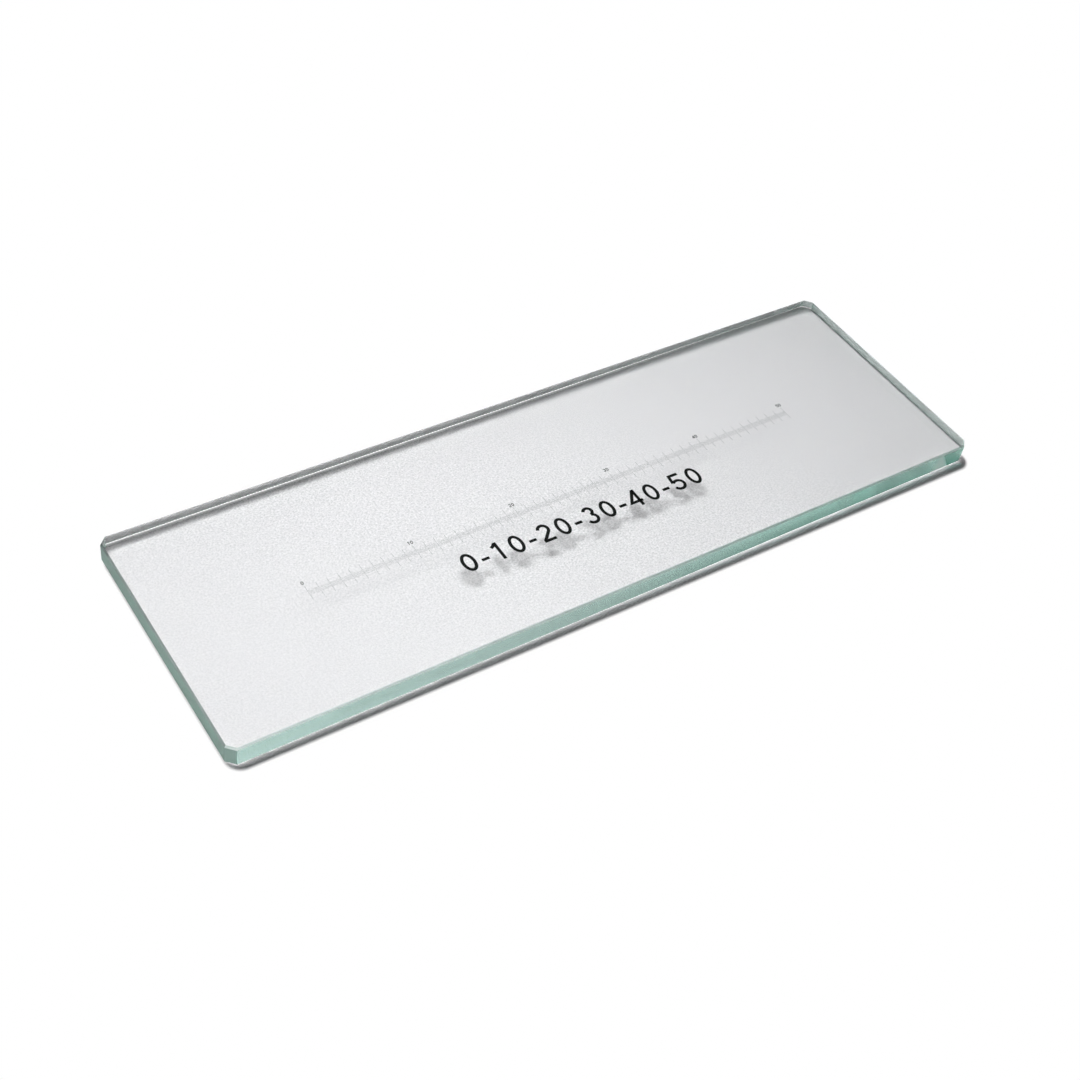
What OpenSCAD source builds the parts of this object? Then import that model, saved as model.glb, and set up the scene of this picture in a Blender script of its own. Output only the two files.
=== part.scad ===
// Clear glass measuring slide for a microscope stage.
// It carries a 50 mm scale in 500 divisions on its upper face.
// Millimetres. +X runs along the slide, +Y across it and +Z up out of the printed face.
// The origin is the middle of the underside.

/* [Glass] */
// Length of the slide
slide_l = 76; // [72:0.5:80]
// Width of the slide
slide_w = 24; // [20:0.5:30]
// Thickness of the glass
slide_t = 2; // [1:0.1:3]
// Leg of the 45 degree cut across each corner
corner_cut = 0.7; // [0.4:0.1:2]
// Leg of the ground bevel along every edge
edge_bevel = 0.15; // [0.05:0.05:0.3]

/* [Scale] */
// Length of the scale
scale_l = 50; // [10:10:60]
// Number of divisions in each millimetre
divisions_per_mm = 10; // [2, 5, 10]
// Distance between two long lines
long_pitch = 1; // [1:1:10]
// Length of a long line
long_line_l = 1.6; // [1:0.1:3]
// Length of a fine line
fine_line_l = 0.55; // [0.3:0.05:0.9]
// Width of a long line
long_line_w = 0.02; // [0.01:0.005:0.04]
// Width of a fine line
fine_line_w = 0.012; // [0.008:0.002:0.03]
// Thickness of the metal film that the lines are made of
film_t = 0.005; // [0.002:0.001:0.02]
// Middle of the scale along the slide
scale_x = -0.6; // [-3:0.1:3]
// Middle of the scale across the slide
scale_y = -0.8; // [-3:0.1:3]

/* [Hidden] */
divisions = scale_l * divisions_per_mm;
division_l = 1 / divisions_per_mm;
divisions_per_long = long_pitch * divisions_per_mm;
// Distance between the faces that cut off two opposite corners
corner_span = (slide_l + slide_w - 2 * corner_cut) / sqrt(2);
// Longer than the slide's diagonal
bar_l = slide_l + slide_w;

// Section of a plate seen along one pair of its edges, which are bevelled above and below
module bevelled_section(across) {
    side = across / 2;
    flat = side - edge_bevel;
    polygon([
        [-flat, 0],
        [flat, 0],
        [side, edge_bevel],
        [side, slide_t - edge_bevel],
        [flat, slide_t],
        [-flat, slide_t],
        [-side, slide_t - edge_bevel],
        [-side, edge_bevel]
    ]);
}

// Long bar of that section, which lies flat and points in the given direction
module bevelled_bar(across, direction) {
    rotate([0, 0, direction])
        rotate([90, 0, 90])
            linear_extrude(bar_l, center = true)
                bevelled_section(across);
}

// The plate is what four crossing bars share: one for each pair of opposite sides and corners
module glass_slide() {
    color("lightcyan", 0.5)
        intersection() {
            bevelled_bar(slide_w, 0);
            bevelled_bar(slide_l, 90);
            bevelled_bar(corner_span, 45);
            bevelled_bar(corner_span, -45);
        }
}

// One line of the scale, which crosses the scale's middle
module scale_line(length, width) {
    translate([-width / 2, -length / 2, 0])
        cube([width, length, film_t]);
}

// Film on the upper face: a line at every division, with a long one at every long_pitch
module scale_lines() {
    color("dimgray")
        translate([scale_x - scale_l / 2, scale_y, slide_t])
            for (i = [0 : divisions])
                translate([i * division_l, 0, 0])
                    if (i % divisions_per_long == 0)
                        scale_line(long_line_l, long_line_w);
                    else
                        scale_line(fine_line_l, fine_line_w);
}

glass_slide();
scale_lines();
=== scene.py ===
import math

import bmesh
import bpy
from mathutils import Matrix, Vector


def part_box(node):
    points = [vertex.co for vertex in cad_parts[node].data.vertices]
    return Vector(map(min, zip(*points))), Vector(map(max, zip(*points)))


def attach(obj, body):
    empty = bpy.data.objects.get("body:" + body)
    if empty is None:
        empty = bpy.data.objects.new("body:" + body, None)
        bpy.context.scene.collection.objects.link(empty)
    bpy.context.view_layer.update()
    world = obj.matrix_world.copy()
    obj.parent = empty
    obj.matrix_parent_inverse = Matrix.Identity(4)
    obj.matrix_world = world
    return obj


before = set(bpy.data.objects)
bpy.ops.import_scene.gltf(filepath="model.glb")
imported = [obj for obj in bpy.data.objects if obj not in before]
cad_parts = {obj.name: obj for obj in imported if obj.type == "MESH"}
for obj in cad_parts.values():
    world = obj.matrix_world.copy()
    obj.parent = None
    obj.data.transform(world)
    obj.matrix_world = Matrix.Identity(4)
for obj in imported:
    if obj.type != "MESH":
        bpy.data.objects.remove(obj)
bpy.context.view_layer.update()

MM = 0.001
glass_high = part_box("glass_slide")[1]
scale_low, scale_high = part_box("scale_lines")
TOP = glass_high[2]
FILM = scale_high[2] - TOP
WHITE = (1, 1, 1, 1)

# Diffuse Depth counts the bounces off matt surfaces, so this lies between none and one.
FIRST_BOUNCE = 0.5


# ---------------------------------------------------------------- node trees


class Tree:
    """A short way to write a node tree."""

    def __init__(self, owner):
        owner.use_nodes = True
        self.tree = owner.node_tree
        self.tree.nodes.clear()

    def fill(self, socket, value):
        """Links another socket to this one, or sets a number or colour on it."""
        if isinstance(value, bpy.types.NodeSocket):
            self.tree.links.new(value, socket)
        else:
            socket.default_value = value

    def node(self, kind, **settings):
        """Adds a node. A setting names an attribute, or an input whose spaces are underscores."""
        made = self.tree.nodes.new(kind)
        for name, value in settings.items():
            if hasattr(made, name):
                setattr(made, name, value)
            else:
                self.fill(made.inputs[name.replace("_", " ")], value)
        return made

    def math(self, operation, *values):
        made = self.node("ShaderNodeMath", operation=operation)
        for socket, value in zip(made.inputs, values):
            self.fill(socket, value)
        return made.outputs[0]

    def vector(self, operation, *values):
        made = self.node("ShaderNodeVectorMath", operation=operation)
        for socket, value in zip(made.inputs, values):
            self.fill(socket, value)
        return made

    def tinted(self, colour, strength):
        """That colour, made brighter or darker by a socket's number."""
        made = self.node("ShaderNodeVectorMath", operation="SCALE", Scale=strength)
        made.inputs[0].default_value = colour
        return made.outputs[0]

    def ramp(self, value, start, end, low=0.0, high=1.0):
        """A number that goes from low to high while value goes from start to end."""
        made = self.node("ShaderNodeMapRange", Value=value)
        for name, number in (("From Min", start), ("From Max", end), ("To Min", low), ("To Max", high)):
            made.inputs[name].default_value = number
        return made.outputs[0]

    def blend(self, share, first, second):
        """A colour between two others. The numbers are those of the node's sockets for colours."""
        made = self.node("ShaderNodeMix", data_type="RGBA")
        for number, value in ((0, share), (6, first), (7, second)):
            self.fill(made.inputs[number], value)
        return made.outputs[2]

    def mix(self, share, first, second):
        """A shader between two others."""
        made = self.node("ShaderNodeMixShader")
        for socket, value in zip(made.inputs, (share, first, second)):
            self.fill(socket, value)
        return made.outputs[0]

    def noise(self, place, scale, detail):
        return self.node("ShaderNodeTexNoise", Vector=place, Scale=scale, Detail=detail).outputs[0]

    def finish(self, surface, volume=None):
        is_world = isinstance(self.tree.id_data, bpy.types.World)
        out = self.node("ShaderNodeOutputWorld" if is_world else "ShaderNodeOutputMaterial")
        self.fill(out.inputs["Surface"], surface)
        if volume is not None:
            self.fill(out.inputs["Volume"], volume)


# ---------------------------------------------------------------- the slide's materials

# How far a normal lies along an axis: fully on a flat face or side, partly on a bevel or cut corner.
FULLY = 0.9
PARTLY = 0.3

# Most values of a noise lie in this span.
NOISE_SPAN = (0.3, 0.7)

GLASS_IOR = 1.52
GLASS_COLOUR = (0.0, 0.55, 0.36, 1)
GLASS_DENSITY = 12.0
FACE_PASS = (0.93, 0.95, 0.945, 1)

# The roughness of the ground sides. LOWER_FINISH and UNEVEN are shares of it.
FINE_GROUND = 0.21
COARSE_GROUND = 0.5
RIGHT_GROUND = 0.45
LOWER_FINISH = 0.2
UNEVEN = (0.85, 1.15)
SCRATCH_SCALE = 6000.0
SCRATCH_DETAIL = 3.0

GROUND_TINT = (0.72, 0.89, 0.85, 1)
BEVEL_TINT = (0.84, 1.0, 0.95, 1)
CORNER_TINT = (0.72, 1.0, 0.92, 1)
# Painted shade for the back corner's facet.
BACK_SHADE_TINT = (0.55, 0.62, 0.60, 1)
LEFT_TINT = (0.40, 0.69, 0.59, 1)
# Painted shade for the left end's bevels.
LEFT_BEVEL_SHADE_TINT = (0.17, 0.24, 0.22, 1)

# The near side deepens towards the right. Near its right end it has a painted glint, a lighter patch, and
# then its darkest part, which is painted shade.
DEEPENING = (0.0, 30 * MM)
DEEP_TINT = (0.52, 0.97, 0.84, 1)
GLINT_START = (33.4 * MM, 34.3 * MM)
GLINT_END = (35.5 * MM, 35.9 * MM)
GLINT_LEAN = 0.58
GLINT_TINT = (0.80, 1.0, 0.93, 1)
END_SHADE_TINT = (0.15, 0.60, 0.44, 1)

FILM_ROUGHNESS = 0.5
FILM_SPECULAR = 0.1
FILM_GRAIN_SCALE = 9000.0
FILM_GRAIN_DETAIL = 3.0
PRINT_TONES = (0.002, 0.007)
LINE_TONES = (0.12, 0.22)


class Sides:
    """Masks for the parts of the glass, each 1 on its part and 0 elsewhere.

    Cycles turns a normal towards the ray, so a side that is seen from inside the glass counts as the one
    opposite it. Only for far_lower is the normal turned outward again.
    """

    def __init__(self, t, geometry):
        facing = t.node("ShaderNodeSeparateXYZ", Vector=geometry["True Normal"]).outputs
        upward = t.math("ABSOLUTE", facing["Z"])
        self.ground = t.math("LESS_THAN", upward, FULLY)
        self.bevel = t.math("MULTIPLY", self.ground, t.math("GREATER_THAN", upward, PARTLY))
        self.right = t.math("GREATER_THAN", facing["X"], PARTLY)
        self.leftward = t.math("LESS_THAN", facing["X"], -PARTLY)
        nearward = t.math("LESS_THAN", facing["Y"], -PARTLY)
        self.front_corner = t.math("MULTIPLY", self.leftward, nearward)
        self.left = t.math("SUBTRACT", self.leftward, self.front_corner)
        self.back_corner = t.math("MULTIPLY", self.right, t.math("GREATER_THAN", facing["Y"], PARTLY))
        self.near_side = t.math("LESS_THAN", facing["Y"], -FULLY)
        self.near_bevel = t.math("MULTIPLY", self.bevel, nearward)
        self.upper_near = t.math("MULTIPLY", self.near_bevel, t.math("GREATER_THAN", facing["Z"], 0.0))
        outward = t.ramp(geometry["Backfacing"], 0.0, 1.0, 1.0, -1.0)
        farward = t.math("GREATER_THAN", t.math("MULTIPLY", facing["Y"], outward), PARTLY)
        downward = t.math("LESS_THAN", t.math("MULTIPLY", facing["Z"], outward), -PARTLY)
        self.far_lower = t.math("MULTIPLY", t.math("MULTIPLY", self.ground, farward), downward)


def ground_roughness(t, sides, glint_mask):
    """None on the polished faces. On the ground sides it differs by side and is a little uneven."""
    place = t.node("ShaderNodeTexCoord").outputs["Object"]
    scratches = t.noise(place, SCRATCH_SCALE, SCRATCH_DETAIL)
    coarse = t.math("MAXIMUM", t.math("MAXIMUM", sides.leftward, sides.near_bevel), glint_mask)
    finish = t.math("MULTIPLY_ADD", coarse, COARSE_GROUND - FINE_GROUND, FINE_GROUND)
    finish = t.math("MULTIPLY_ADD", sides.right, RIGHT_GROUND - FINE_GROUND, finish)
    finish = t.math("MULTIPLY", finish, t.math("MULTIPLY_ADD", sides.far_lower, LOWER_FINISH - 1.0, 1.0))
    uneven = t.ramp(scratches, *NOISE_SPAN, *UNEVEN)
    return t.math("MULTIPLY", t.math("MULTIPLY", sides.ground, finish), uneven)


def ground_tint(t, sides, along, glint_mask, past_glint):
    """White on the polished faces. On the ground sides it differs by side, and on the near one by place. It
    holds painted shade on the back corner, the left bevels and the near side's right end, and a painted
    glint just before that end.
    """
    near = t.blend(t.ramp(along, *DEEPENING), GROUND_TINT, DEEP_TINT)
    # Painted shade: the near side's darkest part, past the glint.
    near = t.blend(past_glint, near, END_SHADE_TINT)
    # Painted glint: a lighter patch near the near side's right end.
    near = t.blend(glint_mask, near, GLINT_TINT)
    tint = t.blend(sides.ground, WHITE, t.blend(sides.near_side, GROUND_TINT, near))
    tint = t.blend(sides.right, t.blend(sides.front_corner, tint, CORNER_TINT), WHITE)
    tint = t.blend(sides.bevel, tint, t.blend(sides.upper_near, WHITE, BEVEL_TINT))
    # Painted shade: the back corner's facet is tinted a darker grey.
    tint = t.blend(sides.back_corner, tint, BACK_SHADE_TINT)
    # Painted shade: the bevels of the left end are tinted a dark grey-green.
    tint = t.blend(sides.left, tint, t.blend(sides.bevel, LEFT_TINT, LEFT_BEVEL_SHADE_TINT))
    return t.blend(sides.far_lower, tint, WHITE)


def glass_material():
    """Clear soda-lime glass: polished faces, ground sides and bevels, and green in its depth."""
    material = bpy.data.materials.new("clear_glass")
    t = Tree(material)
    geometry = t.node("ShaderNodeNewGeometry").outputs
    sides = Sides(t, geometry)
    spot = t.node("ShaderNodeSeparateXYZ", Vector=geometry["Position"]).outputs
    # The painted glint and the painted shade past it lean with height.
    leaning = t.math("MULTIPLY_ADD", spot["Z"], GLINT_LEAN, spot["X"])
    past_glint = t.ramp(leaning, *GLINT_END)
    glint_span = t.math("SUBTRACT", t.ramp(spot["X"], *GLINT_START), past_glint)
    glint_mask = t.math("MULTIPLY", sides.near_side, glint_span)
    shader = t.node(
        "ShaderNodeBsdfPrincipled",
        Base_Color=ground_tint(t, sides, spot["X"], glint_mask, past_glint),
        Roughness=ground_roughness(t, sides, glint_mask),
        IOR=GLASS_IOR,
        Transmission_Weight=1.0,
    ).outputs[0]
    # Rays towards the lamp go straight through the polished faces, so the paper below is lit.
    clear = t.node("ShaderNodeBsdfTransparent", Color=FACE_PASS).outputs[0]
    is_shadow = t.node("ShaderNodeLightPath").outputs["Is Shadow Ray"]
    passes = t.math("MULTIPLY", is_shadow, t.math("SUBTRACT", 1.0, sides.ground))
    depth = t.node("ShaderNodeVolumeAbsorption", Color=GLASS_COLOUR, Density=GLASS_DENSITY)
    t.finish(t.mix(passes, shader, clear), depth.outputs[0])
    return material


def film_material(name, darkest, lightest):
    """Thin dark film on the glass."""
    material = bpy.data.materials.new(name)
    t = Tree(material)
    place = t.node("ShaderNodeTexCoord").outputs["Object"]
    grain = t.noise(place, FILM_GRAIN_SCALE, FILM_GRAIN_DETAIL)
    colour = t.tinted((1.0, 1.0, 1.0), t.ramp(grain, *NOISE_SPAN, darkest, lightest))
    shader = t.node(
        "ShaderNodeBsdfPrincipled",
        Base_Color=colour,
        Roughness=FILM_ROUGHNESS,
        Specular_IOR_Level=FILM_SPECULAR,
    )
    t.finish(shader.outputs[0])
    return material


# In the photo the lines of the scale are much paler than the print.
print_film = film_material("printed_film", *PRINT_TONES)
line_film = film_material("dark_film", *LINE_TONES)
for node, material in (("glass_slide", glass_material()), ("scale_lines", line_film)):
    for part_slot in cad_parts[node].material_slots:
        part_slot.material = material


# ---------------------------------------------------------------- printed numbers

# All the sizes of a sign are shares of its height.
EDGE = 0.07
DIGIT_STEP = 0.777
DASH_STEP = 0.465
ARC_STEP_DEGREES = 12


def arc(middle, across, up, start, end):
    """Points along an ellipse, from one angle to another in degrees."""
    steps = max(2, round(abs(end - start) / ARC_STEP_DEGREES))
    angles = [math.radians(start + (end - start) * i / steps) for i in range(steps + 1)]
    return [(middle[0] + across * math.cos(a), middle[1] + up * math.sin(a)) for a in angles]


# Each sign has the step to the next one, and its strokes.
SIGNS = {
    "0": (DIGIT_STEP, [arc((0.389, 0.5), 0.25, 0.5 - EDGE, 90, -270)]),
    "1": (DIGIT_STEP, [[(0.43, 0), (0.43, 1)], [(0.175, 0.765), (0.31, 0.845), (0.42, 0.97)]]),
    "2": (DIGIT_STEP, [
        arc((0.385, 0.69), 0.235, 0.2425, 165, -35) + [(0.13, 0.09)],
        [(0.085, EDGE), (0.68, EDGE)],
    ]),
    "3": (DIGIT_STEP, [
        arc((0.375, 0.73), 0.2, 0.2025, 160, -80),
        arc((0.375, 0.30), 0.245, 0.2325, 80, -160),
    ]),
    "4": (DIGIT_STEP, [[(0.535, 0), (0.535, 1)], [(0.52, 0.95), (0.1, 0.29), (0.7, 0.29)]]),
    "5": (DIGIT_STEP, [
        [(0.66, 1 - EDGE), (0.205, 1 - EDGE), (0.14, 0.49)],
        arc((0.375, 0.325), 0.265, 0.2575, 142, -160),
    ]),
    "-": (DASH_STEP, [[(0.05, 0.36), (0.415, 0.36)]]),
}


def add_stroke(shape, points, half, thickness):
    """A flat strip of even width along the points, with mitred corners."""
    rings = []
    touching = half / 100
    closed = (points[0] - points[-1]).length < touching
    if closed:
        points = points[:-1]
    count = len(points)
    for i, point in enumerate(points):
        legs = []
        if closed or i > 0:
            legs.append((point - points[i - 1]).normalized())
        if closed or i < count - 1:
            legs.append((points[(i + 1) % count] - point).normalized())
        along = sum(legs, Vector((0, 0))).normalized()
        across = Vector((-along.y, along.x)) * half / along.dot(legs[0])
        left, right = point + across, point - across
        corners = [(left, 0), (right, 0), (right, thickness), (left, thickness)]
        rings.append([shape.verts.new((p.x, p.y, z)) for p, z in corners])
    pairs = list(zip(rings, rings[1:]))
    if closed:
        pairs.append((rings[-1], rings[0]))
    else:
        shape.faces.new(rings[0])
        shape.faces.new(reversed(rings[-1]))
    for first, second in pairs:
        for i in range(4):
            j = (i + 1) % 4
            shape.faces.new((first[j], first[i], second[i], second[j]))


def set_signs(signs, height, weight, spacing):
    """The strokes of a line of signs whose pen starts at 0, and its left and right ends."""
    strokes = []
    pen = 0.0
    for sign in signs:
        step, shapes = SIGNS[sign]
        for points in shapes:
            strokes.append([Vector((pen + x * height, y * height)) for x, y in points])
        pen += step * height + spacing
    half = weight * height / 2
    xs = [point.x for points in strokes for point in points]
    return strokes, min(xs) - half, max(xs) + half


def add_print(name, signs, height, weight, left, baseline, width=None):
    """Signs on the upper face. Where a width is given, they are spaced to fill it."""
    strokes, start, end = set_signs(signs, height, weight, 0.0)
    if width is not None:
        spacing = (width - (end - start)) / (len(signs) - 1)
        strokes, start, end = set_signs(signs, height, weight, spacing)
    shape = bmesh.new()
    for points in strokes:
        add_stroke(shape, points, weight * height / 2, FILM)
    bmesh.ops.recalc_face_normals(shape, faces=shape.faces)
    bmesh.ops.translate(shape, verts=shape.verts, vec=(left - start, baseline, TOP))
    mesh = bpy.data.meshes.new(name)
    shape.to_mesh(mesh)
    shape.free()
    mesh.materials.append(print_film)
    piece = bpy.data.objects.new(name, mesh)
    bpy.context.scene.collection.objects.link(piece)
    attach(piece, "root")


def add_numbers():
    """The numbers of the scale, each in the middle above its line."""
    height = 0.36 * MM
    weight = 0.18
    rise = 0.16 * MM
    tens = 5
    length = scale_high[0] - scale_low[0]
    for i in range(tens + 1):
        signs = str(i * 10)
        start, end = set_signs(signs, height, weight, 0.0)[1:]
        left = scale_low[0] + i * length / tens - (end - start) / 2
        add_print(f"number_{signs}", signs, height, weight, left, scale_high[1] + rise)


def add_caption():
    """One line of large plain numbers below the scale."""
    height = 2.0 * MM
    weight = 0.15
    left = -13.0 * MM
    baseline = -4.74 * MM
    width = 24.8 * MM
    add_print("caption", "0-10-20-30-40-50", height, weight, left, baseline, width)


add_numbers()
add_caption()


# ---------------------------------------------------------------- floor

PAPER = (1.0, 0.955, 0.985)
FLOOR_TONE = 0.85
BOUNCED_TONE = 0.35

# To the camera the paper is brightest close to the slide, more so on the right, and darkens away from it: a
# painted light line along the slide, and painted shade that deepens its real shadow.
EDGE_LIGHT_GAIN = (1.4, 2.25)
EDGE_RISE = (-10 * MM, 16 * MM)
SHADOW_GAIN = 0.65
SHADOW_DEPTH = 0.6 * MM

# Painted light: to the glass the open paper is brighter than that below it, and brightest on its right.
# A rim of painted light under the far bevel adds to it, and ends towards the right.
BORDER = 0.02 * MM
OPEN_GAIN = 1.9
RIGHT_OPEN = (37.98 * MM, 38.0 * MM)
RIGHT_GAIN = 1.4
RIM = (11.80 * MM, 11.85 * MM)
RIM_LIGHT_GAIN = 1.1
RIM_END = (10 * MM, 26 * MM)

# The paper shows as far as a copy of the slide's outline, shifted and sheared a little, and then fades.
ROUNDING = 1.2 * MM
SHADOW_SHIFT = (0.15 * MM, -0.62 * MM, 0.0)
SHADOW_SLANT = 0.0045
FADE = (0.0, 0.3 * MM)

# The grain is deepest in a slanting band left of the middle. Its depth on either side is a share of that.
GRAIN = 0.42
GRAIN_SCALE = 6000.0
GRAIN_DETAIL = 1.0
GRAIN_ACROSS = (1.0, 1.1, 0.0)
GRAIN_LEFT = (-34 * MM, -12 * MM)
GRAIN_LEFT_SHARE = 0.35
GRAIN_RIGHT = (1 * MM, 19 * MM)
GRAIN_RIGHT_SHARE = 0.05


def distance_past(t, place, size, shift):
    """How far a point lies outside a rounded box of that half size, once the box is shifted."""
    local = t.vector("ABSOLUTE", t.vector("SUBTRACT", place, shift).outputs[0]).outputs[0]
    inner = (size[0] - ROUNDING, size[1] - ROUNDING, size[2])
    past = t.vector("MAXIMUM", t.vector("SUBTRACT", local, inner).outputs[0], (0, 0, 0)).outputs[0]
    return t.math("SUBTRACT", t.vector("LENGTH", past).outputs["Value"], ROUNDING)


def paper_grain(t, place):
    """A factor round 1."""
    along = t.vector("DOT_PRODUCT", place, GRAIN_ACROSS).outputs["Value"]
    on_left = t.ramp(along, *GRAIN_LEFT, GRAIN_LEFT_SHARE * GRAIN, GRAIN)
    depth = t.math("MULTIPLY", on_left, t.ramp(along, *GRAIN_RIGHT, 1.0, GRAIN_RIGHT_SHARE))
    grain = t.noise(place, GRAIN_SCALE, GRAIN_DETAIL)
    return t.math("MULTIPLY_ADD", t.ramp(grain, 0.0, 1.0, -1.0, 1.0), depth, 1.0)


def paper_gain(t, spot, away, is_camera):
    """The painted light and shade on the paper: its gain over its tone, as the camera sees it and as it
    lights the glass.
    """
    painted_edge_light = t.ramp(spot["X"], *EDGE_RISE, *EDGE_LIGHT_GAIN)
    painted_shadow = t.ramp(away, 0.0, SHADOW_DEPTH)
    # To the camera: painted light right beside the slide, and painted shade that deepens the real shadow
    # further out.
    seen = t.math("MULTIPLY_ADD", painted_shadow, t.math("SUBTRACT", SHADOW_GAIN, painted_edge_light), painted_edge_light)
    # Painted light: to the glass the open paper is brighter, and that right of the slide more so.
    open_gain = t.ramp(away, 0.0, BORDER, 1.0, OPEN_GAIN)
    open_gain = t.math("ADD", open_gain, t.ramp(spot["X"], *RIGHT_OPEN, 0.0, RIGHT_GAIN))
    beneath = t.ramp(away, 0.0, BORDER, 1.0, 0.0)
    # A rim of painted light under the far bevel.
    painted_rim = t.math("MULTIPLY", t.ramp(spot["Y"], *RIM, 0.0, RIM_LIGHT_GAIN), beneath)
    lighting = t.math("MULTIPLY_ADD", painted_rim, t.ramp(spot["X"], *RIM_END, 1.0, 0.0), open_gain)
    return t.math("MULTIPLY_ADD", is_camera, t.math("SUBTRACT", seen, lighting), lighting)


def floor_material():
    """Pale paper with painted light and shade near the slide, which to the camera fades into the white
    backdrop round the slide.
    """
    material = bpy.data.materials.new("floor")
    t = Tree(material)
    path = t.node("ShaderNodeLightPath").outputs
    is_camera = path["Is Camera Ray"]
    place = t.node("ShaderNodeTexCoord").outputs["Object"]
    spot = t.node("ShaderNodeSeparateXYZ", Vector=place).outputs
    size = (glass_high[0], glass_high[1], 1.0)
    away = distance_past(t, place, size, (0, 0, 0))
    # Light that has bounced off the paper before finds it darker, so the paper doesn't brighten itself.
    bounced = t.math("GREATER_THAN", path["Diffuse Depth"], FIRST_BOUNCE)
    tone = t.math("MULTIPLY_ADD", bounced, BOUNCED_TONE - FLOOR_TONE, FLOOR_TONE)
    tone = t.math("MULTIPLY", paper_grain(t, place), tone)
    colour = t.tinted(PAPER, t.math("MULTIPLY", tone, paper_gain(t, spot, away, is_camera)))
    paper = t.node("ShaderNodeBsdfDiffuse", Color=colour).outputs[0]
    slant = t.math("MULTIPLY", spot["X"], SHADOW_SLANT)
    slanted = t.vector("ADD", place, t.node("ShaderNodeCombineXYZ", Y=slant).outputs[0]).outputs[0]
    past_shadow = distance_past(t, slanted, size, SHADOW_SHIFT)
    fade = t.math("MULTIPLY", t.ramp(past_shadow, *FADE), is_camera)
    backdrop = t.node("ShaderNodeEmission", Color=WHITE, Strength=1.0).outputs[0]
    t.finish(t.mix(fade, paper, backdrop))
    return material


def add_floor():
    """A wide sheet just below the slide, which it doesn't touch."""
    half = 3.0
    air_gap = 0.02 * MM
    mesh = bpy.data.meshes.new("floor")
    corners = [(-half, -half), (half, -half), (half, half), (-half, half)]
    mesh.from_pydata([(x, y, -air_gap) for x, y in corners], [], [(0, 1, 2, 3)])
    mesh.materials.append(floor_material())
    floor = bpy.data.objects.new("floor", mesh)
    bpy.context.scene.collection.objects.link(floor)


# ---------------------------------------------------------------- light and camera

GLOW_FROM = Vector((0.15, 0.55, 0.82)).normalized()
GLOW_FOCUS = 10.0
GLOW = 0.70
GLOW_BASE = 0.20
AMBIENT = 0.10


def add_world():
    """A white backdrop to the eye, and to the glass a soft glow from behind."""
    world = bpy.data.worlds.new("studio")
    bpy.context.scene.world = world
    t = Tree(world)
    path = t.node("ShaderNodeLightPath").outputs
    place = t.node("ShaderNodeTexCoord").outputs["Generated"]
    facing = t.vector("DOT_PRODUCT", place, tuple(GLOW_FROM)).outputs["Value"]
    glow = t.math("POWER", t.math("MAXIMUM", facing, 0.0), GLOW_FOCUS)
    behind = t.math("MULTIPLY_ADD", glow, GLOW, GLOW_BASE)
    by_glass = t.math("MAXIMUM", path["Is Glossy Ray"], path["Is Transmission Ray"])
    unbounced = t.math("LESS_THAN", path["Diffuse Depth"], FIRST_BOUNCE)
    direct = t.math("MULTIPLY", by_glass, unbounced)
    light = t.math("MULTIPLY_ADD", direct, t.math("SUBTRACT", behind, AMBIENT), AMBIENT)
    strength = t.math("MAXIMUM", light, path["Is Camera Ray"])
    t.finish(t.node("ShaderNodeBackground", Color=WHITE, Strength=strength).outputs[0])


def add_key():
    """A long soft lamp above and behind, whose narrow light fades towards the right."""
    data = bpy.data.lights.new("key", "AREA")
    data.shape = "ELLIPSE"
    data.size = 170 * MM
    data.size_y = 80 * MM
    data.spread = math.radians(37.5)
    data.energy = 0.0250
    key = bpy.data.objects.new("key", data)
    key.location = Vector((-20, 85, 230)) * MM
    aim = Vector((-17, -5, 0)) * MM
    key.rotation_euler = (key.location - aim).to_track_quat("Z", "Y").to_euler()
    bpy.context.scene.collection.objects.link(key)


def add_camera():
    """A camera in front of the slide on its left, which looks down on it."""
    azimuth = math.radians(-40.78)
    elevation = math.radians(45.77)
    roll = math.radians(10.47)
    distance = 138.27 * MM
    target = Vector((-4.98, -3.50, 1.0)) * MM
    ahead = Vector((
        -math.sin(azimuth) * math.cos(elevation),
        math.cos(azimuth) * math.cos(elevation),
        -math.sin(elevation),
    ))
    level = ahead.to_track_quat("-Z", "Y").to_matrix()
    data = bpy.data.cameras.new("camera")
    data.lens = 54.13
    data.clip_start = 1 * MM
    camera = bpy.data.objects.new("camera", data)
    turned = level @ Matrix.Rotation(roll, 3, "Z")
    camera.matrix_world = Matrix.Translation(target - ahead * distance) @ turned.to_4x4()
    bpy.context.scene.collection.objects.link(camera)
    bpy.context.scene.camera = camera


add_floor()
add_world()
add_key()
add_camera()

scene = bpy.context.scene
scene.view_settings.view_transform = "Standard"
# Light crosses the plate many times between its two faces before it leaves by an edge.
crossings = 48
scene.cycles.max_bounces = crossings
scene.cycles.transmission_bounces = crossings
scene.cycles.glossy_bounces = crossings
